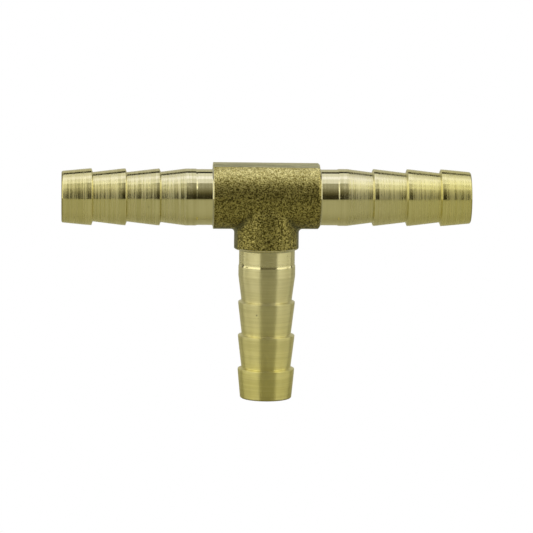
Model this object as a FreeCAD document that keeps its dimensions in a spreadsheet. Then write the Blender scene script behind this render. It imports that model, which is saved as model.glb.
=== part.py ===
import FreeCAD, Part
import os

import Sketcher

# Barbed hose tee in brass, for quarter-inch bore hose: a rough forged centre and three turned tails.
# Each tail is bored through and its plain spigot is pressed into a socket in the forged centre.
# Millimetres. The origin is where the run's bore axis crosses the branch's; the run lies along X,
# the branch points down (-Z), and +Z is up.

doc = FreeCAD.newDocument("barbed_tee")
sizes = doc.addObject("Spreadsheet::Sheet", "sizes")

DRIVING_SIZES = {
    # flow passage, the same drill in all three legs
    "passage_diameter": 4.4,
    "mouth_bevel": 0.2,
    # the branch drill stops this far below the run's axis, where it has opened into the run's passage
    "branch_drill_stop": 0.5,
    # turned tail, measured from its tip back to the shoulder that seats on the forging
    "tail_length": 18.8,
    "tip_diameter": 6.4,
    "tip_break": 0.12,
    "crest_diameter": 7.06,
    "root_diameter": 6.12,
    "first_crest": 3.7,
    "barb_pitch": 4.21,
    "barb_count": 3,
    "tip_crest_land": 0.65,
    "crest_land": 0.4,
    "back_slope": 0.17,
    # plain seat behind the barbs, where the hose end stops
    "taper_root_diameter": 6.25,
    "seat_diameter": 7.06,
    "seat_front": 15.4,
    "seat_back": 16.63,
    "seat_bevel": 0.2,
    "neck_diameter": 6.93,
    "flare_diameter": 7.35,
    "flare_length": 0.15,
    # pressed joint between a tail and the forging
    "spigot_diameter": 5.6,
    "spigot_length": 2.0,
    "spigot_bevel": 0.15,
    "press_clearance": 0.0,
    "socket_end_gap": 0.1,
    # forged centre: barrel along X, collar down the branch
    "barrel_diameter": 8.25,
    "collar_inset": 0.105,
    "body_left_reach": 6.75,
    "body_right_reach": 6.45,
    "body_branch_reach": 6.4,
    "forging_rise": 0.19,
    "collar_shift": 0.09,
    "crotch_radius": 0.5,
    "end_chamfer": 0.2,
}

for row, (alias, value) in enumerate(DRIVING_SIZES.items(), start=1):
    sizes.set(f"A{row}", alias)
    sizes.set(f"B{row}", str(value))
    sizes.setAlias(f"B{row}", alias)
doc.recompute()


def origin_plane(body, role):
    """One of the body's own three base planes."""
    return next(plane for plane in body.Origin.OriginFeatures if plane.Role == role)


def new_sketch(body, name, role, offset="0"):
    """A sketch on a base plane of the body, moved along that plane's normal by an expression."""
    sketch = body.newObject("Sketcher::SketchObject", name)
    sketch.AttachmentSupport = (origin_plane(body, role), "")
    sketch.MapMode = "FlatFace"
    sketch.setExpression("AttachmentOffset.Base.z", offset)
    return sketch


def hold_point(sketch, edge, point, axis_distance, other_axis, expression):
    """Holds one coordinate of a sketch point: on the axis when it is zero, else at a distance."""
    if expression == "0":
        sketch.addConstraint(Sketcher.Constraint("PointOnObject", edge, point, other_axis))
        return
    value = sketch.evalExpression(expression)
    number = sketch.addConstraint(
        Sketcher.Constraint(axis_distance, -1, 1, edge, point, value)
    )
    sketch.setExpression(f"Constraints[{number}]", expression)


def outline_sketch(body, name, corners):
    """A closed outline of straight edges in the XZ plane; a corner is (radius, height) in expressions."""
    sketch = new_sketch(body, name, "XZ_Plane")
    points = [
        FreeCAD.Vector(sketch.evalExpression(radius), sketch.evalExpression(height), 0)
        for radius, height in corners
    ]
    for start, end in zip(points, points[1:] + points[:1]):
        sketch.addGeometry(Part.LineSegment(start, end), False)
    for edge in range(len(points)):
        following = (edge + 1) % len(points)
        sketch.addConstraint(Sketcher.Constraint("Coincident", edge, 2, following, 1))
    for edge, (radius, height) in enumerate(corners):
        hold_point(sketch, edge, 1, "DistanceX", -2, radius)
        hold_point(sketch, edge, 1, "DistanceY", -1, height)
    return sketch


def circle_sketch(body, name, role, offset, diameter, across="0", up="0"):
    """One circle on a base plane, with its centre and diameter in expressions."""
    sketch = new_sketch(body, name, role, offset)
    centre = FreeCAD.Vector(sketch.evalExpression(across), sketch.evalExpression(up), 0)
    radius = sketch.evalExpression(diameter) / 2
    sketch.addGeometry(Part.Circle(centre, FreeCAD.Vector(0, 0, 1), radius), False)
    number = sketch.addConstraint(Sketcher.Constraint("Diameter", 0, 2 * radius))
    sketch.setExpression(f"Constraints[{number}]", diameter)
    hold_point(sketch, 0, 3, "DistanceX", -2, across)
    hold_point(sketch, 0, 3, "DistanceY", -1, up)
    return sketch


def turned(body, kind, name, sketch):
    """A full turn of a sketch about its vertical axis, added (Revolution) or cut (Groove)."""
    feature = body.newObject(f"PartDesign::{kind}", name)
    feature.Profile = sketch
    feature.ReferenceAxis = (sketch, ["V_Axis"])
    feature.Angle = 360
    sketch.Visibility = False
    return feature


def must_cut(body, make_cut):
    """Makes a cut and checks that it really took material away."""
    doc.recompute()
    before = body.Shape.Volume
    feature = make_cut()
    doc.recompute()
    if not body.Shape.Volume < before:
        raise RuntimeError(f"{feature.Label} removed nothing")
    return feature


def from_tip(distance):
    """Height in a tail, from the inner end of its spigot, of a place this far back from the tip."""
    return f"sizes.spigot_length + sizes.tail_length - ({distance})"


def barbed_tail(label, turn_about_y, base_axis, base):
    """A turned tail: spigot at the bottom, shoulder, neck, hose seat, then barbs up to the tip."""
    tail = doc.addObject("PartDesign::Body", label)
    tail.Label = label
    last_crest = "sizes.first_crest + (sizes.barb_count - 1) * sizes.barb_pitch"
    stem = outline_sketch(
        tail,
        f"{label}_stem_outline",
        [
            ("0", "0"),
            ("sizes.spigot_diameter / 2 - sizes.spigot_bevel", "0"),
            ("sizes.spigot_diameter / 2", "sizes.spigot_bevel"),
            ("sizes.spigot_diameter / 2", "sizes.spigot_length"),
            ("sizes.flare_diameter / 2", "sizes.spigot_length"),
            ("sizes.neck_diameter / 2", "sizes.spigot_length + sizes.flare_length"),
            ("sizes.neck_diameter / 2", from_tip("sizes.seat_back + sizes.seat_bevel")),
            ("sizes.seat_diameter / 2", from_tip("sizes.seat_back")),
            ("sizes.seat_diameter / 2", from_tip("sizes.seat_front")),
            ("sizes.taper_root_diameter / 2", from_tip(last_crest)),
            ("sizes.root_diameter / 2", from_tip(last_crest)),
            ("sizes.root_diameter / 2", from_tip("sizes.first_crest + sizes.back_slope")),
            ("sizes.crest_diameter / 2", from_tip("sizes.first_crest")),
            ("sizes.crest_diameter / 2", from_tip("sizes.first_crest - sizes.tip_crest_land")),
            ("sizes.tip_diameter / 2", from_tip("sizes.tip_break")),
            ("sizes.tip_diameter / 2 - sizes.tip_break", from_tip("0")),
            ("0", from_tip("0")),
        ],
    )
    turned(tail, "Revolution", f"{label}_stem", stem)

    # the second barb, repeated back towards the shoulder; each one starts where the last one ends
    second_crest = "sizes.first_crest + sizes.barb_pitch"
    barb_front = "sizes.first_crest + sizes.back_slope"
    barb = outline_sketch(
        tail,
        f"{label}_barb_outline",
        [
            ("0", from_tip(f"{second_crest} + sizes.back_slope")),
            ("sizes.root_diameter / 2", from_tip(f"{second_crest} + sizes.back_slope")),
            ("sizes.crest_diameter / 2", from_tip(second_crest)),
            ("sizes.crest_diameter / 2", from_tip(f"{second_crest} - sizes.crest_land")),
            ("sizes.root_diameter / 2", from_tip(barb_front)),
            ("0", from_tip(barb_front)),
        ],
    )
    barb_feature = turned(tail, "Revolution", f"{label}_barb", barb)
    doc.recompute()
    barbs = tail.newObject("PartDesign::LinearPattern", f"{label}_barbs")
    barbs.Originals = [barb_feature]
    barbs.Direction = (barb, ["V_Axis"])
    barbs.Reversed = True
    barbs.setExpression("Occurrences", "sizes.barb_count - 1")
    barbs.setExpression("Length", "(sizes.barb_count - 2) * sizes.barb_pitch")
    tail.Tip = barbs
    doc.recompute()

    passage = outline_sketch(
        tail,
        f"{label}_passage_outline",
        [
            ("0", "0"),
            ("sizes.passage_diameter / 2", "0"),
            ("sizes.passage_diameter / 2", from_tip("sizes.mouth_bevel")),
            ("sizes.passage_diameter / 2 + sizes.mouth_bevel", from_tip("0")),
            ("0", from_tip("0")),
        ],
    )
    must_cut(tail, lambda: turned(tail, "Groove", f"{label}_passage", passage))

    tail.Placement = FreeCAD.Placement(
        FreeCAD.Vector(), FreeCAD.Rotation(FreeCAD.Vector(0, 1, 0), turn_about_y)
    )
    tail.setExpression(f"Placement.Base.{base_axis}", base)
    return tail


def padded(body, name, sketch, length, reverse=False):
    """A sketch pushed out along its normal by an expression."""
    pad = body.newObject("PartDesign::Pad", name)
    pad.Profile = sketch
    pad.setExpression("Length", length)
    pad.Reversed = reverse
    sketch.Visibility = False
    return pad


def drilled(body, name, role, offset, diameter, depth, towards_normal):
    """A round hole from a plane at an offset, going in along the plane's normal or against it."""

    def make_pocket():
        pocket = body.newObject("PartDesign::Pocket", name)
        pocket.Profile = circle
        pocket.setExpression("Length", depth)
        pocket.Reversed = towards_normal
        circle.Visibility = False
        return pocket

    circle = circle_sketch(body, f"{name}_circle", role, offset, diameter)
    return must_cut(body, make_pocket)


def edge_names(shape, wanted):
    """Names of the edges that a test on each edge picks out."""
    return [f"Edge{n}" for n, edge in enumerate(shape.Edges, start=1) if wanted(edge)]


def forged_centre(label):
    """The forging: a barrel along the run with a collar down the branch, three sockets and passages."""
    body = doc.addObject("PartDesign::Body", label)
    body.Label = label
    left = sizes.body_left_reach
    right = sizes.body_right_reach
    down = sizes.body_branch_reach
    near = 0.01

    # the forging sits a little above and to one side of the axes that the tails are turned on
    barrel_circle = circle_sketch(
        body, "barrel_circle", "YZ_Plane", "-sizes.body_left_reach", "sizes.barrel_diameter",
        up="sizes.forging_rise",
    )
    padded(body, "barrel", barrel_circle, "sizes.body_left_reach + sizes.body_right_reach")
    collar_diameter = "sizes.barrel_diameter - 2 * sizes.collar_inset"
    collar_circle = circle_sketch(
        body, "collar_circle", "XY_Plane", "0", collar_diameter, across="-sizes.collar_shift"
    )
    collar = padded(body, "collar", collar_circle, "sizes.body_branch_reach", reverse=True)
    doc.recompute()

    # the crotch edges are those that reach neither an end of the barrel nor the collar's end
    crotch = edge_names(
        collar.Shape,
        lambda edge: edge.BoundBox.XMin > near - left
        and edge.BoundBox.XMax < right - near
        and edge.BoundBox.ZMin > near - down,
    )
    crotch_fillet = body.newObject("PartDesign::Fillet", "crotch_fillet")
    crotch_fillet.Base = (collar, crotch)
    crotch_fillet.setExpression("Radius", "sizes.crotch_radius")
    doc.recompute()

    # the barrel's right end and the collar's end are chamfered; the left end is left square
    rims = edge_names(
        crotch_fillet.Shape,
        lambda edge: edge.BoundBox.XMin > right - near or edge.BoundBox.ZMax < near - down,
    )
    rim_chamfer = body.newObject("PartDesign::Chamfer", "rim_chamfer")
    rim_chamfer.Base = (crotch_fillet, rims)
    rim_chamfer.setExpression("Size", "sizes.end_chamfer")
    doc.recompute()

    socket_diameter = "sizes.spigot_diameter + 2 * sizes.press_clearance"
    socket_depth = "sizes.spigot_length + sizes.socket_end_gap"
    legs = {
        "left": ("YZ_Plane", "-sizes.body_left_reach", True),
        "right": ("YZ_Plane", "sizes.body_right_reach", False),
        "branch": ("XY_Plane", "-sizes.body_branch_reach", True),
    }
    for leg, (role, offset, inward) in legs.items():
        drilled(body, f"{leg}_socket", role, offset, socket_diameter, socket_depth, inward)
    drilled(
        body, "run_passage", "YZ_Plane", "-sizes.body_left_reach", "sizes.passage_diameter",
        "sizes.body_left_reach + sizes.body_right_reach", True,
    )
    drilled(
        body, "branch_passage", "XY_Plane", "-sizes.body_branch_reach", "sizes.passage_diameter",
        "sizes.body_branch_reach - sizes.branch_drill_stop", True,
    )
    return body


parts = [
    forged_centre("tee_body"),
    barbed_tail("left_barbed_tail", -90, "x", "sizes.spigot_length - sizes.body_left_reach"),
    barbed_tail("right_barbed_tail", 90, "x", "sizes.body_right_reach - sizes.spigot_length"),
    barbed_tail("branch_barbed_tail", 180, "z", "sizes.spigot_length - sizes.body_branch_reach"),
]
doc.recompute()

failed = [thing.Label for thing in doc.Objects if {"Invalid", "Error"} & set(thing.State)]
failed += [part.Label for part in parts if part.Shape.isNull() or not part.Shape.isValid()]
if failed:
    raise RuntimeError(f"these did not build: {failed}")

os.makedirs("parts", exist_ok=True)
for part in parts:
    part.Shape.exportStep(f"parts/{part.Label}.step")
    box = part.Shape.BoundBox
    print(f"{part.Label}: {part.Shape.Volume:.2f} mm3, {len(part.Shape.Solids)} solid, "
          f"x {box.XMin:.2f} to {box.XMax:.2f}, z {box.ZMin:.2f} to {box.ZMax:.2f}")
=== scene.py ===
import math

import bmesh
import bpy
import numpy as np
from mathutils import Euler, Matrix, Vector, noise


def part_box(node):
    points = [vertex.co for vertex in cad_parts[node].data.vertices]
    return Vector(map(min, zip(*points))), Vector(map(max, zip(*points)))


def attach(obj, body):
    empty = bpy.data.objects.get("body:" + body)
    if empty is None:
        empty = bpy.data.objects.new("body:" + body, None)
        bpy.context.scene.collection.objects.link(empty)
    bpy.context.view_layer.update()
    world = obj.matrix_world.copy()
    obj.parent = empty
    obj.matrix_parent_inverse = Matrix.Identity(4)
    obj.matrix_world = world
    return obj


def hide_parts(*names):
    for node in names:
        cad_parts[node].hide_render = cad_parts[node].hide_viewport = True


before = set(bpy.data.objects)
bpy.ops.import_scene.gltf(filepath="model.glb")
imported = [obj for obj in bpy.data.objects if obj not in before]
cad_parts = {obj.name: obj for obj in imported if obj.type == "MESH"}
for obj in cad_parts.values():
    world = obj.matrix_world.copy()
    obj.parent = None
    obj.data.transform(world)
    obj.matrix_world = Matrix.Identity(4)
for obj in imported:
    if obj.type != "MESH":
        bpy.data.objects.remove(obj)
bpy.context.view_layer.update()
MM = 0.001


# ---------------------------------------------------------------------------------------------
# Branch barbed tail. A hollow hose tail turned from brass bar, bright and ringed by the tool. It
# has three barbs, a plain seat for the hose end, and a spigot pressed up into the forged centre.

tip_radius = 3.2
tip_break = 0.12
crest_radius = 3.53
root_radius = 3.06
taper_root_radius = 3.125
first_crest = 3.7
barb_pitch = 4.21
barb_count = 3
tip_crest_land = 0.65
crest_land = 0.4
land_slope = 0.07
back_slope = 0.17
seat_front = 15.4
seat_back = 16.63
seat_bevel = 0.2
neck_radius = 3.465
flare_radius = 3.675
flare_length = 0.15
spigot_radius = 2.8
spigot_length = 2.0
spigot_bevel = 0.15
passage_radius = 2.2
mouth_bevel = 0.2
edge_round = 0.04
outside_step = 0.07
inside_step = 0.5
round_count = 200
ring_depth = 0.006
ring_pitch = 3.0
weld_distance = 0.0005


def rounded(corners):
    """A closed outline in (height, radius) with small round corners, cut into short straight steps."""
    corners = [Vector(corner) for corner in corners]
    count = len(corners)
    reaches = []
    for place, corner in enumerate(corners):
        before = (corners[place - 1] - corner).length
        after = (corners[(place + 1) % count] - corner).length
        reaches.append(min(edge_round, before / 3, after / 3))
    outline = []
    for place, corner in enumerate(corners):
        following = (place + 1) % count
        ahead = (corners[following] - corner).normalized()
        behind = (corners[place - 1] - corner).normalized()
        start = corner + behind * reaches[place]
        end = corner + ahead * reaches[place]
        for share in (0.0, 0.33, 0.67, 1.0):
            outline.append(start.lerp(corner, share).lerp(corner.lerp(end, share), share))
        straight_end = corners[following] - ahead * reaches[following]
        middle_radius = (end.y + straight_end.y) / 2
        step = outside_step if middle_radius > spigot_radius else inside_step
        steps = max(1, math.ceil((straight_end - end).length / step))
        outline += [end.lerp(straight_end, number / steps) for number in range(1, steps)]
    return np.array(outline)


def tail_corners(length, seat_shift):
    """Half section of a tail as (height, radius), with heights from the shoulder to the tip."""
    corners = [
        (-spigot_length, passage_radius),
        (-spigot_length, spigot_radius - spigot_bevel),
        (spigot_bevel - spigot_length, spigot_radius),
        (0, spigot_radius),
        (0, flare_radius),
        (flare_length, neck_radius),
        (length - seat_back + seat_shift - seat_bevel, neck_radius),
        (length - seat_back + seat_shift, crest_radius),
        (length - seat_front, crest_radius),
        (length - first_crest - (barb_count - 1) * barb_pitch - back_slope, taper_root_radius),
    ]
    for barb in reversed(range(1, barb_count)):
        crest = first_crest + barb * barb_pitch
        corners += [
            (length - crest, crest_radius),
            (length - crest + crest_land, crest_radius - crest_land * land_slope),
            (length - crest + barb_pitch - back_slope, root_radius),
        ]
    corners += [
        (length - first_crest, crest_radius),
        (length - first_crest + tip_crest_land, crest_radius - tip_crest_land * land_slope),
        (length - tip_break, tip_radius),
        (length, tip_radius - tip_break),
        (length, passage_radius + mouth_bevel),
        (length - mouth_bevel, passage_radius),
    ]
    return corners


def add_piece(name, points, faces, materials, kinds=None):
    """A smooth-shaded closed mesh from points in millimetres; kinds pick each face's material."""
    mesh = bpy.data.meshes.new(name)
    mesh.from_pydata((np.asarray(points) * MM).tolist(), [], np.asarray(faces).tolist())
    for material in materials:
        mesh.materials.append(material)
    if kinds is not None:
        mesh.polygons.foreach_set("material_index", kinds)
    work = bmesh.new()
    work.from_mesh(mesh)
    bmesh.ops.remove_doubles(work, verts=work.verts, dist=weld_distance * MM)
    bmesh.ops.recalc_face_normals(work, faces=work.faces)
    for face in work.faces:
        face.smooth = True
    work.to_mesh(mesh)
    work.free()
    piece = bpy.data.objects.new(name, mesh)
    bpy.context.scene.collection.objects.link(piece)
    return piece


def grid_faces(rows, columns, first=0):
    """Quads of a grid of points that are numbered row by row from first."""
    number = first + np.arange(rows * columns).reshape(rows, columns)
    quads = [number[:-1, :-1], number[1:, :-1], number[1:, 1:], number[:-1, 1:]]
    return np.stack(quads, axis=-1).reshape(-1, 4)


def turned_tail(length, seed, nicks, seat_shift=0.0):
    """Turns a tail about its own Z axis, tip down; nicks are (height, degrees, size, depth) dents."""
    outline = rounded(tail_corners(length, seat_shift))
    outline = np.concatenate([outline, outline[:1]])
    angles = np.linspace(0, 2 * math.pi, round_count + 1)
    height = outline[:, 0][:, None]
    radius = np.broadcast_to(outline[:, 1][:, None], (len(outline), len(angles))).copy()
    outside = outline[:, 1] > spigot_radius + 0.05
    for row in np.nonzero(outside)[0]:
        # the tool's feed leaves shallow rings, uneven along the tail
        along = outline[row, 0]
        depth = ring_depth * noise.noise(Vector((along * ring_pitch, seed, 0)))
        depth += ring_depth * 0.6 * noise.noise(Vector((along * ring_pitch * 2.3, seed, 5)))
        radius[row] += depth
    for nick_height, degrees, size, depth in nicks:
        turn = (angles - math.radians(degrees) + math.pi) % (2 * math.pi) - math.pi
        apart = np.hypot(height - nick_height, turn[None, :] * radius) / size
        radius -= outside[:, None] * depth * np.exp(-(apart**2))
    points = np.stack(
        [radius * np.cos(angles), radius * np.sin(angles), np.broadcast_to(-height, radius.shape)],
        axis=-1,
    )
    rows, columns = radius.shape
    return points.reshape(-1, 3), grid_faces(rows, columns)


class Wire:
    """One output of a shader node, so that shader maths reads as ordinary sums."""

    def __init__(self, socket):
        self.socket = socket

    def node(self, kind, settings=None, values=None, output=0):
        """Adds any node: its settings first, then the values or wires of its sockets."""
        tree = self.socket.id_data
        made = tree.nodes.new(kind)
        for name, value in (settings or {}).items():
            setattr(made, name, value)
        for name, value in (values or {}).items():
            if isinstance(value, Wire):
                tree.links.new(value.socket, made.inputs[name])
            else:
                made.inputs[name].default_value = value
        return Wire(made.outputs[output])

    def output(self, number):
        """Another output of the same node."""
        return Wire(self.socket.node.outputs[number])

    def maths(self, operation, first, second=0.0):
        return self.node("ShaderNodeMath", {"operation": operation}, {0: first, 1: second})

    def __add__(self, other):
        return self.maths("ADD", self, other)

    def __radd__(self, other):
        return self.maths("ADD", other, self)

    def __sub__(self, other):
        return self.maths("SUBTRACT", self, other)

    def __rsub__(self, other):
        return self.maths("SUBTRACT", other, self)

    def __mul__(self, other):
        return self.maths("MULTIPLY", self, other)

    def __rmul__(self, other):
        return self.maths("MULTIPLY", other, self)

    def __abs__(self):
        return self.maths("ABSOLUTE", self)

    def length_with(self, other):
        """Distance from the axis at right angles to both this value and the other."""
        return self.maths("SQRT", self * self + other * other)

    def distance(self, point):
        """How far this place is from a point."""
        values = {0: self, 1: point}
        return self.node("ShaderNodeVectorMath", {"operation": "DISTANCE"}, values, output=1)

    def ramp(self, low, high, start=0.0, end=1.0):
        """Smoothly from start to end as this value goes from low to high."""
        values = {"Value": self, "From Min": low, "From Max": high, "To Min": start, "To Max": end}
        return self.node("ShaderNodeMapRange", {"interpolation_type": "SMOOTHSTEP"}, values)

    def mix(self, low, high):
        """The colour low where this value is 0 and high where it is 1."""
        return self.node("ShaderNodeMix", {"data_type": "RGBA"}, {0: self, 6: low, 7: high}, output=2)

    def stretched(self, x, y, z):
        """This vector with each part multiplied by its own number."""
        return self.node("ShaderNodeVectorMath", {"operation": "MULTIPLY"}, {0: self, 1: (x, y, z)})

    def moved(self, x, y, z):
        return self.node("ShaderNodeVectorMath", {"operation": "ADD"}, {0: self, 1: (x, y, z)})

    def noise(self, scale, detail=2.0, roughness=0.5, distortion=0.0):
        values = {"Scale": scale, "Detail": detail, "Roughness": roughness, "Distortion": distortion}
        return self.node("ShaderNodeTexNoise", {}, {"Vector": self, **values})

    def bump(self):
        """A normal from this height in metres."""
        values = {"Height": self, "Distance": 1.0, "Strength": 1.0, "Filter Width": 0.1}
        return self.node("ShaderNodeBump", {}, values)

    def feed(self, surface, name):
        self.socket.id_data.links.new(self.socket, surface.inputs[name])


def metal(name, anisotropy):
    """An empty metal material: itself, its surface node and its place in millimetres."""
    material = bpy.data.materials.new(name)
    material.use_nodes = True
    surface = material.node_tree.nodes["Principled BSDF"]
    surface.inputs["Metallic"].default_value = 1.0
    surface.inputs["Anisotropic"].default_value = anisotropy
    surface.inputs["Anisotropic Rotation"].default_value = 0.25
    place = Wire(surface.outputs[0]).node("ShaderNodeTexCoord", output="Object")
    return material, surface, place.stretched(1 / MM, 1 / MM, 1 / MM)


neck_colour = (0.84, 0.785, 0.49, 1)
nick_colour = (0.10, 0.08, 0.03, 1)
flare_colour = (0.64, 0.62, 0.48, 1)
# the dark colour of the bore, also used as painted shade on each tip's cut end
bore_and_end_shade_colour = (0.22, 0.19, 0.08, 1)
worn_colour = (0.74, 0.68, 0.36, 1)
# painted reflection: dark streaks along the real tool scores
score_streak_reflection_colour = (0.36, 0.32, 0.04, 1)


def turned_brass(name, length, seed, nicks, dullness, scoring, polish, tip_reflection_colour, seat_shift=0.0):
    """Bright turned brass with tool rings about Z: paler at the neck, yellower and duller on the barbs."""
    neck_dullness, barb_dullness = dullness
    material, surface, place = metal(name, 1.0)
    x = place.node("ShaderNodeSeparateXYZ", {}, {0: place})
    height = 0 - x.output(2)
    rings = place.stretched(0.015, 0.015, 1.0).moved(seed, seed, seed)
    fine = rings.noise(6.0, detail=3.0, roughness=0.8)
    scores = rings.moved(4.0, 0.0, 0.0).noise(5.0, detail=2.0, roughness=0.8)
    feed_lines = rings.noise(2.6, detail=2.0, roughness=0.6)
    smears = place.stretched(0.5, 0.5, 1.6).moved(seed, 0, 0).noise(1.1, detail=3.0, roughness=0.6)

    seat_edge = length - seat_back + seat_shift
    on_barbs = height.ramp(seat_edge - 0.3, seat_edge + 0.4)
    relief = (fine - 0.5) * 0.014 + (feed_lines - 0.5) * 0.006
    ((relief * (0.25 + on_barbs * 0.75)) * MM).bump().feed(surface, "Normal")

    base_dullness = neck_dullness + on_barbs * (barb_dullness - neck_dullness)
    scored = scores.ramp(0.38, 0.62, 1.0, 0.0) * (0.35 + on_barbs * 0.65) * scoring
    last_crest = length - first_crest - (barb_count - 1) * barb_pitch
    past_crest = height - last_crest
    past_crest = past_crest.maths("MODULO", past_crest, barb_pitch)
    below_last_crest = height.ramp(last_crest - 0.05, last_crest)
    on_land = past_crest.ramp(crest_land, tip_crest_land, 1.0, 0.0) * below_last_crest
    seat_end = length - seat_front
    on_seat = on_barbs * height.ramp(seat_end - 0.1, seat_end + 0.1, 1.0, 0.0)
    past_neck = height.ramp(seat_edge - 0.25, seat_edge - 0.18)
    on_bevel = past_neck * height.ramp(seat_edge, seat_edge + 0.06, 1.0, 0.0)
    polished = (on_land + on_seat) * polish + on_bevel * (1 - polish) * 0.9
    radial = x.length_with(x.output(1))
    inside = radial.ramp(passage_radius + 0.15, passage_radius + 0.3, 1.0, 0.0)
    rough = base_dullness - scored * (1 - polished * 0.5) * 0.14 - polished * 0.14
    rough = rough + smears.ramp(0.4, 0.7) * 0.03 + inside * 0.2
    rough.feed(surface, "Roughness")

    # painted reflection: towards the tip the colour turns yellow, for the brass-lit table that the tip
    # mirrors
    yellow = height.ramp(length * 0.1, length * 0.95)
    clean = yellow.mix(neck_colour, tip_reflection_colour)
    # painted reflection: the tool scores are also painted darker, as dark streaks in what the tail mirrors
    clean = (scored * 0.3).mix(clean, score_streak_reflection_colour)
    colour = (smears.ramp(0.45, 0.8) * 0.3).mix(clean, worn_colour)
    for nick_height, degrees, size, _ in nicks:
        turn = math.radians(degrees)
        centre = (crest_radius * math.cos(turn), crest_radius * math.sin(turn), -nick_height)
        colour = place.distance(centre).ramp(size, size + 0.12, 1.0, 0.0).mix(colour, nick_colour)
    colour = height.ramp(0.1, 0.25, 1.0, 0.0).mix(colour, flare_colour)
    # painted shade: the cut end of the tip is darkened towards the bore's colour
    shaded_cut_end = height.ramp(length - tip_break - 0.04, length - tip_break + 0.04)
    colour = (shaded_cut_end * 0.6).mix(colour, bore_and_end_shade_colour)
    (inside * 0.85).mix(colour, bore_and_end_shade_colour).feed(surface, "Base Color")
    return material


branch_low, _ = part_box("branch_barbed_tail")
body_low, body_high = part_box("tee_body")
branch_length = (body_low[2] - branch_low[2]) / MM
# the tip colour is a painted reflection of the yellow, brass-lit table that the tip mirrors
branch_tip_reflection_colour = (0.86, 0.79, 0.34, 1)
branch_nicks = [
    (1.95, -152, 0.12, 0.05),
    (8.0, -113.6, 0.1, 0.01),
    (8.4, -110.0, 0.1, 0.01),
    (8.8, -106.5, 0.1, 0.01),
]
branch_brass = turned_brass(
    "branch_brass", branch_length, seed=29.3, nicks=branch_nicks, dullness=(0.29, 0.36), scoring=0.5,
    polish=0.0, tip_reflection_colour=branch_tip_reflection_colour,
)
branch_tail = add_piece(
    "branch_tail",
    *turned_tail(branch_length, seed=3.0, nicks=branch_nicks),
    [branch_brass],
)
branch_tail.location = (0, 0, body_low[2])
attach(branch_tail, "root")
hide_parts("branch_barbed_tail")


# ---------------------------------------------------------------------------------------------
# Left barbed tail. The same turned brass tail, laid on its side and pressed into the left end of
# the forged centre.

left_low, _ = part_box("left_barbed_tail")
left_length = (body_low[0] - left_low[0]) / MM
# the tip colour is a painted reflection of the yellow, brass-lit table that the tip mirrors
left_tip_reflection_colour = (0.86, 0.79, 0.42, 1)
left_nicks = [(8.1, -76, 0.1, 0.02), (10.8, 40, 0.1, 0.03)]
left_brass = turned_brass(
    "left_brass", left_length, seed=3.1, nicks=left_nicks, dullness=(0.14, 0.29), scoring=1.0,
    polish=1.0, tip_reflection_colour=left_tip_reflection_colour,
)
left_tail = add_piece(
    "left_tail",
    *turned_tail(left_length, seed=11.0, nicks=left_nicks),
    [left_brass],
)
left_tail.location = (body_low[0], 0, 0)
left_tail.rotation_euler = Euler((0, math.pi / 2, 0))
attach(left_tail, "root")
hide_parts("left_barbed_tail")


# ---------------------------------------------------------------------------------------------
# Right barbed tail. The same turned brass tail, laid the other way and pressed into the right end
# of the forged centre.

_, right_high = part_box("right_barbed_tail")
right_length = (right_high[0] - body_high[0]) / MM
# the tip colour is a painted reflection of the yellow, brass-lit table that the tip mirrors
right_tip_reflection_colour = (0.86, 0.79, 0.36, 1)
right_nicks = [(9.0, -140, 0.1, 0.02)]
right_seat_shift = 0.2
right_brass = turned_brass(
    "right_brass", right_length, seed=17.7, nicks=right_nicks, dullness=(0.14, 0.32), scoring=0.7,
    polish=1.0, tip_reflection_colour=right_tip_reflection_colour, seat_shift=right_seat_shift,
)
right_tail = add_piece(
    "right_tail",
    *turned_tail(right_length, seed=23.0, nicks=right_nicks, seat_shift=right_seat_shift),
    [right_brass],
)
right_tail.location = (body_high[0], 0, 0)
right_tail.rotation_euler = Euler((0, -math.pi / 2, 0))
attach(right_tail, "root")
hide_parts("right_barbed_tail")


# ---------------------------------------------------------------------------------------------
# Forged centre. One brass forging with a dull, grainy skin. Where the flash was trimmed off round
# the edge that the two dies shared, a smoother band with lengthwise marks stands a little proud.
# Its ends are faced square and its passages and sockets are drilled.

band_height = 0.05
barrel_radius = 4.125 - band_height
forging_rise = 0.19
collar_radius = 4.02 - band_height
collar_shift = 0.09
crotch_radius = 0.5
end_chamfer = 0.2
band_half_width = 1.7
band_step = 0.03
band_taper = 0.09
corner_drop = 0.1
grain_depth = 0.02
socket_gap = 0.1
marks_depth = 0.006
band_level = 0.4
settling_rounds = 4
grid_step = 0.08
inner_step = 0.5
face_rings = 9
socket_rings = 5
forged_kind = 0
faced_kind = 1
body_left = -body_low[0] / MM
body_right = body_high[0] / MM
body_down = -body_low[2] / MM
# each pit is its centre, its half size along x, y and z, and its depth
pits = [
    ((2.93, -2.72, -5.0), (0.14, 1.0, 0.42), 0.14),
    ((1.5, -3.7, -4.75), (0.16, 1.0, 0.2), 0.08),
    ((-2.9, -2.9, -1.1), (0.16, 1.0, 0.14), 0.06),
    ((4.6, -3.9, 1.3), (0.14, 1.0, 0.16), 0.06),
]


def with_band_edges(angles, radius, middle):
    """Adds rows just inside and outside the band's edges, so that its step is crisp."""
    edges = []
    for side in (-1, 1):
        for offset in (-band_step / 2, band_step / 2):
            edges.append(middle + side * math.asin((band_half_width + offset) / radius))
    inside = [edge for edge in edges if angles[0] < edge < angles[-1]]
    return np.unique(np.round(np.concatenate([angles, inside]), 9))


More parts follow.
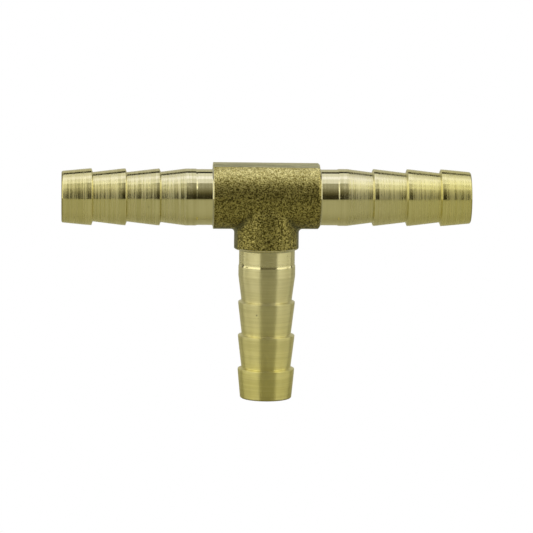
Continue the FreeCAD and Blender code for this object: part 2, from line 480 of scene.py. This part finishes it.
def tee_skin(barrel, rise, collar, shift, left, right, down, step, banded):
    """Grids of points over a round barrel with a round collar below it: the halves, then the top."""
    side_angles = np.linspace(-math.pi / 2, math.pi / 2, round(math.pi * collar / step) + 1)
    joint_angle = math.asin(collar / barrel)
    top_count = round((2 * math.pi - 2 * joint_angle) * barrel / step)
    top_angles = np.linspace(joint_angle, 2 * math.pi - joint_angle, top_count + 1)
    if banded:
        side_angles = with_band_edges(side_angles, collar, 0)
        top_angles = with_band_edges(top_angles, barrel, math.pi)
    y = (collar * np.sin(side_angles))[:, None]
    z = rise - np.sqrt(barrel**2 - y**2)
    reach = (collar * np.cos(side_angles))[:, None]
    share = np.linspace(0, 1, max(2, round((left + right) / 2 / step)) + 1)
    drop = np.linspace(0, 1, max(2, round((down - 2) / step)) + 1)
    grids = []
    for side, end in ((1, right), (-1, -left)):
        joint = side * reach - shift
        along_barrel = (joint + (end - joint) * share, y, z)
        down_collar = (joint, y, z + (-down - z) * drop)
        grids += [np.stack(np.broadcast_arrays(*parts), axis=-1) for parts in (along_barrel, down_collar)]
    x_over = np.concatenate([-left + (left - shift) * share, -shift + (right + shift) * share[1:]])
    y_over = (barrel * np.sin(top_angles))[:, None]
    z_over = (rise - barrel * np.cos(top_angles))[:, None]
    grids.append(np.stack(np.broadcast_arrays(x_over[None, :], y_over, z_over), axis=-1))
    return grids


def end_loops(grids):
    """The three open ends of a tee skin, each as one closed loop of points: left, right, bottom."""
    right_barrel, right_collar, left_barrel, left_collar, over = grids
    left = np.concatenate([left_barrel[:, -1], over[:, 0]])
    right = np.concatenate([right_barrel[:, -1], over[:, -1]])
    bottom = np.concatenate([right_collar[:, -1], left_collar[::-1, -1]])
    return [left, right, bottom]


def unit(vectors):
    """The same directions with a length of 1."""
    return vectors / np.maximum(np.linalg.norm(vectors, axis=-1, keepdims=True), 1e-9)


def outside_distance(points):
    """Distance from the forging's skin, with the crotch rounded where barrel and collar cross."""
    from_barrel = points * (0, 1, 1) - (0, 0, forging_rise)
    from_collar = points * (1, 1, 0) + (collar_shift, 0, 0)
    to_barrel = np.linalg.norm(from_barrel, axis=1) - barrel_radius
    to_collar = np.linalg.norm(from_collar, axis=1) - collar_radius
    to_collar = np.maximum(to_collar, points[:, 2] - forging_rise)
    facing = np.sum(unit(from_barrel) * unit(from_collar), axis=1)
    radius = np.maximum(crotch_radius * (1 - np.clip(facing, 0, 1)), 0.01)
    short_of_barrel = np.maximum(radius - to_barrel, 0)
    short_of_collar = np.maximum(radius - to_collar, 0)
    return np.maximum(radius, np.minimum(to_barrel, to_collar)) - np.hypot(short_of_barrel, short_of_collar)


def outward(points):
    """The skin's outward direction at each point."""
    nudge = 0.01
    slopes = []
    for shift in np.eye(3) * nudge:
        slopes.append(outside_distance(points + shift) - outside_distance(points - shift))
    return unit(np.stack(slopes, axis=1))


def grain(point):
    """Height of the forged skin at a point: worm-like ridges with pits between them."""
    spot = Vector(point)
    ridges = 0.5 - abs(noise.noise(spot * 1.9 + Vector((2, 9, 4)))) * 2.2
    lumps = noise.noise(spot * 3.3 + Vector((7, 3, 1)))
    return grain_depth * (ridges + lumps * 1.3 + noise.noise(spot * 0.7) * 0.5)


def lengthwise_marks(point):
    """Height of the marks that trimming left on the band, which run along it."""
    run = Vector((point[0] * 0.2, point[1] * 4, point[2] * 4))
    if point[2] < -barrel_radius:
        run = Vector((point[0] * 4, point[1] * 4, point[2] * 0.2))
    height = marks_depth * noise.noise(run) + marks_depth * noise.noise(Vector(point) * 1.5)
    if point[2] > 0:
        height -= band_taper * ((point[0] + body_left) / (body_left + body_right) - band_level)
    return height


def relieved(grid):
    """Skin points moved onto the rounded skin, then out or in by band, grain and pits."""
    flat = grid.reshape(-1, 3).copy()
    for _ in range(settling_rounds):
        flat -= outward(flat) * outside_distance(flat)[:, None]
    on_band = np.clip((band_half_width - np.abs(flat[:, 1])) / band_step + 0.5, 0, 1)
    height = np.array([grain(point) for point in flat]) * (1 - on_band)
    height += np.array([band_height + lengthwise_marks(point) for point in flat]) * on_band
    for centre, size, depth in pits:
        apart = np.linalg.norm((flat - centre) / size, axis=1)
        height -= depth * np.exp(-(apart**2)) * (1 - on_band)
    flat += outward(flat) * height[:, None]
    flat[:, 0] = np.clip(flat[:, 0], -body_left, body_right - end_chamfer)
    # at the collar's foot the trimmed band runs half way over the bevel, so that its corners stay sharp
    near_end = np.clip(end_chamfer + 1 - body_down - flat[:, 2], 0, 1)
    flat[:, 2] = np.maximum(flat[:, 2], end_chamfer - body_down) - corner_drop * near_end * on_band
    return flat.reshape(grid.shape)


socket_depth = spigot_length + socket_gap
skin = tee_skin(
    barrel_radius, forging_rise, collar_radius, collar_shift,
    body_left, body_right - end_chamfer, body_down - end_chamfer, grid_step, True,
)
skin = [relieved(grid) for grid in skin]
# a hair thinner than the run's passage, so that the two cross along one clean curve
branch_passage_radius = passage_radius * 0.999
passages = tee_skin(
    passage_radius, 0, branch_passage_radius, 0,
    body_left - socket_depth, body_right - socket_depth, body_down - socket_depth, inner_step, False,
)

points = []
faces = []
kinds = []


def add_grid(grid, kind, first_kind=None):
    """Adds a grid to the centre's mesh; its first row of faces can be of another kind."""
    rows, columns = grid.shape[:2]
    faces.append(grid_faces(rows, columns, first=sum(len(block) for block in points)))
    points.append(grid.reshape(-1, 3))
    face_kinds = np.full((rows - 1, columns - 1), kind)
    if first_kind is not None:
        face_kinds[0] = first_kind
    kinds.append(face_kinds.ravel())


for grid in skin:
    add_grid(grid, forged_kind)
for grid in passages:
    add_grid(grid, faced_kind)


def nearest(points, targets):
    """For each point, the target that is closest to it."""
    apart = np.linalg.norm(points[:, None] - targets[None], axis=2)
    return targets[np.argmin(apart, axis=1)]


def turned_end(rim, facing, reach, passage_rim):
    """Rings from a rim of the skin over its faced end, down into the socket and to the passage."""
    facing = np.array(facing, float)
    axis_point = facing * (rim @ facing).max()
    round_way = unit(rim - axis_point - np.outer((rim - axis_point) @ facing, facing))
    chamfer = (reach - rim @ facing)[:, None]
    face = rim + facing * chamfer - round_way * chamfer
    mouth = facing * reach + round_way * spigot_radius
    rings = [rim]
    rings += [face * (1 - share) + mouth * share for share in np.linspace(0, 1, face_rings)]
    rings += [mouth - facing * socket_depth * share for share in np.linspace(0, 1, socket_rings)[1:]]
    rings += [nearest(rings[-1] - round_way * (spigot_radius - passage_radius), passage_rim)]
    return np.stack(rings)


left_rim, right_rim, bottom_rim = end_loops(skin)
left_passage, right_passage, bottom_passage = end_loops(passages)
left_end = turned_end(left_rim, (-1, 0, 0), body_left, left_passage)
right_end = turned_end(right_rim, (1, 0, 0), body_right, right_passage)
bottom_end = turned_end(bottom_rim, (0, 0, -1), body_down, bottom_passage)
add_grid(left_end, faced_kind)
add_grid(right_end, faced_kind, first_kind=forged_kind)
add_grid(bottom_end, faced_kind)


def forged_brass():
    """Dull forged brass: dark pits between rubbed ridges, and a smoother grey-green trimmed band."""
    material, surface, place = metal("forged_brass_skin", 0.0)
    x = place.node("ShaderNodeSeparateXYZ", {}, {0: place})
    y = x.output(1)
    z = x.output(2)
    band = abs(y).ramp(band_half_width - 0.02, band_half_width + 0.02, 1.0, 0.0)

    lumps = place.noise(6.0, detail=3.0, roughness=0.6, distortion=0.4)
    worms = place.noise(4.2, detail=2.0, roughness=0.6, distortion=1.5)
    broad = place.noise(0.45, detail=2.0)
    streaks = place.stretched(0.12, 2.5, 2.5).noise(1.6, detail=3.0, roughness=0.6)

    grainy = (lumps - 0.5) * 0.045 + (worms - 0.5) * 0.03
    relief = grainy * (1 - band) + (streaks - 0.5) * band * 0.02
    (relief * MM).bump().feed(surface, "Normal")

    ridge = (lumps * 0.55 + worms * 0.45).ramp(0.43, 0.57)
    glints_and_dark_specks = place.moved(5.0, 0.0, 0.0).noise(7.5, detail=1.0)
    # painted light and shade: ridges and pits are coloured lighter at the top and darker towards the bottom
    low = z.ramp(1.5, 3.9, 1.0, 0.0)
    ridge_colour = low.mix((1.0, 0.91, 0.39, 1), (0.54, 0.47, 0.16, 1))
    pit_colour = low.mix((0.38, 0.31, 0.08, 1), (0.045, 0.037, 0.005, 1))
    skin_colour = ridge.mix(pit_colour, ridge_colour)
    # painted glints: bright specks on the ridges; the dark specks on the next line are dark pits
    skin_colour = (glints_and_dark_specks.ramp(0.60, 0.70) * ridge * 0.6).mix(skin_colour, (1.0, 0.90, 0.45, 1))
    skin_colour = (glints_and_dark_specks.ramp(0.30, 0.40, 0.7, 0.0)).mix(skin_colour, (0.06, 0.05, 0.01, 1))
    skin_colour = (broad.ramp(0.4, 0.7) * 0.15).mix(skin_colour, (0.17, 0.135, 0.03, 1))
    # painted shade: the skin is darkened along the creases where barrel and collar cross
    from_collar = abs((x + collar_shift).length_with(y) - collar_radius)
    from_barrel = abs((z - forging_rise).length_with(y) - barrel_radius)
    crease_shade = from_collar.ramp(0.05, 0.6, 1.0, 0.0) * from_barrel.ramp(0.05, 0.6, 1.0, 0.0)
    crease_shade = crease_shade * abs(x).ramp(1.8, 3.4) * z.ramp(-1.2, -0.6, 1.0, 0.0)
    skin_colour = (crease_shade * 0.8).mix(skin_colour, (0.10, 0.10, 0.06, 1))
    trimmed = streaks.ramp(0.35, 0.65).mix((0.50, 0.48, 0.28, 1), (0.80, 0.77, 0.48, 1))
    # painted shade: the trimmed band turns darker towards the bottom, and less of its colour shows there
    trimmed = z.ramp(-2.5, 0.0, 1.0, 0.0).mix(trimmed, (0.20, 0.20, 0.13, 1))
    (band * z.ramp(-2.5, 0.0, 0.65, 1.0)).mix(skin_colour, trimmed).feed(surface, "Base Color")
    (0.32 + (1 - ridge) * 0.1 - band * 0.02).feed(surface, "Roughness")
    return material


def faced_brass():
    """Brass cut square by a facing tool, a little dull."""
    material, surface, place = metal("faced_brass", 0.0)
    marks = place.noise(5.0, detail=3.0, roughness=0.7)
    ((marks - 0.5) * 0.004 * MM).bump().feed(surface, "Normal")
    marks.ramp(0.3, 0.7, 0.24, 0.34).feed(surface, "Roughness")
    marks.ramp(0.3, 0.7).mix((0.80, 0.75, 0.52, 1), (0.84, 0.79, 0.58, 1)).feed(surface, "Base Color")
    return material


body_piece = add_piece(
    "forged_centre",
    np.concatenate(points),
    np.concatenate(faces),
    [forged_brass(), faced_brass()],
    np.concatenate(kinds),
)
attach(body_piece, "root")
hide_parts("tee_body")


# ---------------------------------------------------------------------------------------------
# Table. A plain pale sheet that the tee stands on. The brass mirrors it, but the camera doesn't
# see it: it sees even white all round the tee.

table_half = 4.0
table_mesh = bpy.data.meshes.new("table")
table_corners = [
    (x * table_half, y * table_half, branch_low[2]) for x, y in ((-1, -1), (1, -1), (1, 1), (-1, 1))
]
table_mesh.from_pydata(table_corners, [], [(0, 1, 2, 3)])
table = bpy.data.objects.new("table", table_mesh)
bpy.context.scene.collection.objects.link(table)
table.visible_camera = False
table_material = bpy.data.materials.new("white_table")
table_material.use_nodes = True
table_surface = table_material.node_tree.nodes["Principled BSDF"]
table_surface.inputs["Base Color"].default_value = (0.48, 0.47, 0.335, 1)
table_surface.inputs["Roughness"].default_value = 1.0
table_surface.inputs["Specular IOR Level"].default_value = 0.0
table_mesh.materials.append(table_material)


# ---------------------------------------------------------------------------------------------
# Studio light. A broad soft light overhead with a bluer lamp along its middle, a light and a
# corner lamp on each side, a pale backdrop behind, and a dim room in front, brighter higher up.

def soft_light(name, centre, turn, width, height, radiance, colour):
    """A flat soft light in metres that shines along its own -Z after the turn, in degrees."""
    lamp = bpy.data.lights.new(name, "AREA")
    lamp.shape = "RECTANGLE"
    lamp.size = width
    lamp.size_y = height
    lamp.energy = radiance * math.pi * width * height
    lamp.color = colour
    light = bpy.data.objects.new(name, lamp)
    light.location = centre
    light.rotation_euler = Euler([math.radians(angle) for angle in turn])
    light.visible_camera = False
    bpy.context.scene.collection.objects.link(light)


cool = (1.0, 1.02, 1.8)
neutral = (1.0, 1.0, 1.04)
warm = (1.0, 0.98, 0.82)
soft_light("overhead_light", (0, 0.073, 0.6), (0, 0, 0), 1.3, 0.655, 0.82, neutral)
soft_light("overhead_lamp", (0, 0.055, 0.58), (0, 0, 0), 1.3, 0.16, 0.25, cool)
soft_light("left_light", (-0.5, -0.3, 0.33), (0, -90, 0), 0.71, 1.1, 1.25, warm)
soft_light("right_light", (0.5, -0.17, 0.33), (0, 90, 0), 0.71, 0.80, 1.15, warm)
soft_light("left_corner_lamp", (-0.45, -0.42, 0.6), (0, 0, 0), 0.5, 0.33, 0.5, warm)
soft_light("right_corner_lamp", (0.45, -0.42, 0.6), (0, 0, 0), 0.5, 0.33, 0.5, warm)
soft_light("backdrop", (0, 0.8, 0.363), (90, 0, 180), 2.4, 0.766, 0.5, warm)

room_glow = 0.025
studio = bpy.data.worlds.new("studio")
bpy.context.scene.world = studio
studio.use_nodes = True
background = studio.node_tree.nodes["Background"]
look = Wire(background.outputs[0]).node("ShaderNodeTexCoord", output="Generated")
look_parts = look.node("ShaderNodeSeparateXYZ", {}, {0: look})
frontward = 0 - look_parts.output(1)
upward = look_parts.output(2)
front_wall = upward.ramp(0.15, 1.0, 0.0, 0.33) * upward.ramp(0.90, 0.94, 1.0, 0.0)
room = room_glow + front_wall * frontward.ramp(-0.1, 0.3)
room_colour = upward.ramp(0.05, 0.9).mix((1.0, 0.85, 0.25, 1), (1.0, 0.98, 0.80, 1))
seen = look.node("ShaderNodeLightPath", output="Is Camera Ray")
(seen + (1 - seen) * room).feed(background, "Strength")
seen.mix(room_colour, (1, 1, 1, 1)).feed(background, "Color")


# ---------------------------------------------------------------------------------------------
# Camera. A long lens a little above the run and a little to its left.

camera_turn = math.radians(2.9)
camera_rise = math.radians(8.35)
camera_roll = math.radians(0.56)
camera_distance = 0.6
view_width = 0.0663
aim = Vector((-0.04, 0, -8.69)) * MM
level = math.cos(camera_rise)
back = Vector((-math.sin(camera_turn) * level, -math.cos(camera_turn) * level, math.sin(camera_rise)))
level_right = Vector((0, 0, 1)).cross(back).normalized()
level_up = back.cross(level_right)
right_way = math.cos(camera_roll) * level_right + math.sin(camera_roll) * level_up
up_way = back.cross(right_way)
camera_data = bpy.data.cameras.new("camera")
camera_data.sensor_width = 36.0
camera_data.lens = camera_data.sensor_width * camera_distance / view_width
camera_data.clip_start = 0.01
camera = bpy.data.objects.new("camera", camera_data)
camera.matrix_world = Matrix.Translation(aim + back * camera_distance) @ Matrix(
    (right_way, up_way, back)
).transposed().to_4x4()
bpy.context.scene.collection.objects.link(camera)
bpy.context.scene.camera = camera
bpy.context.scene.view_settings.view_transform = "Standard"
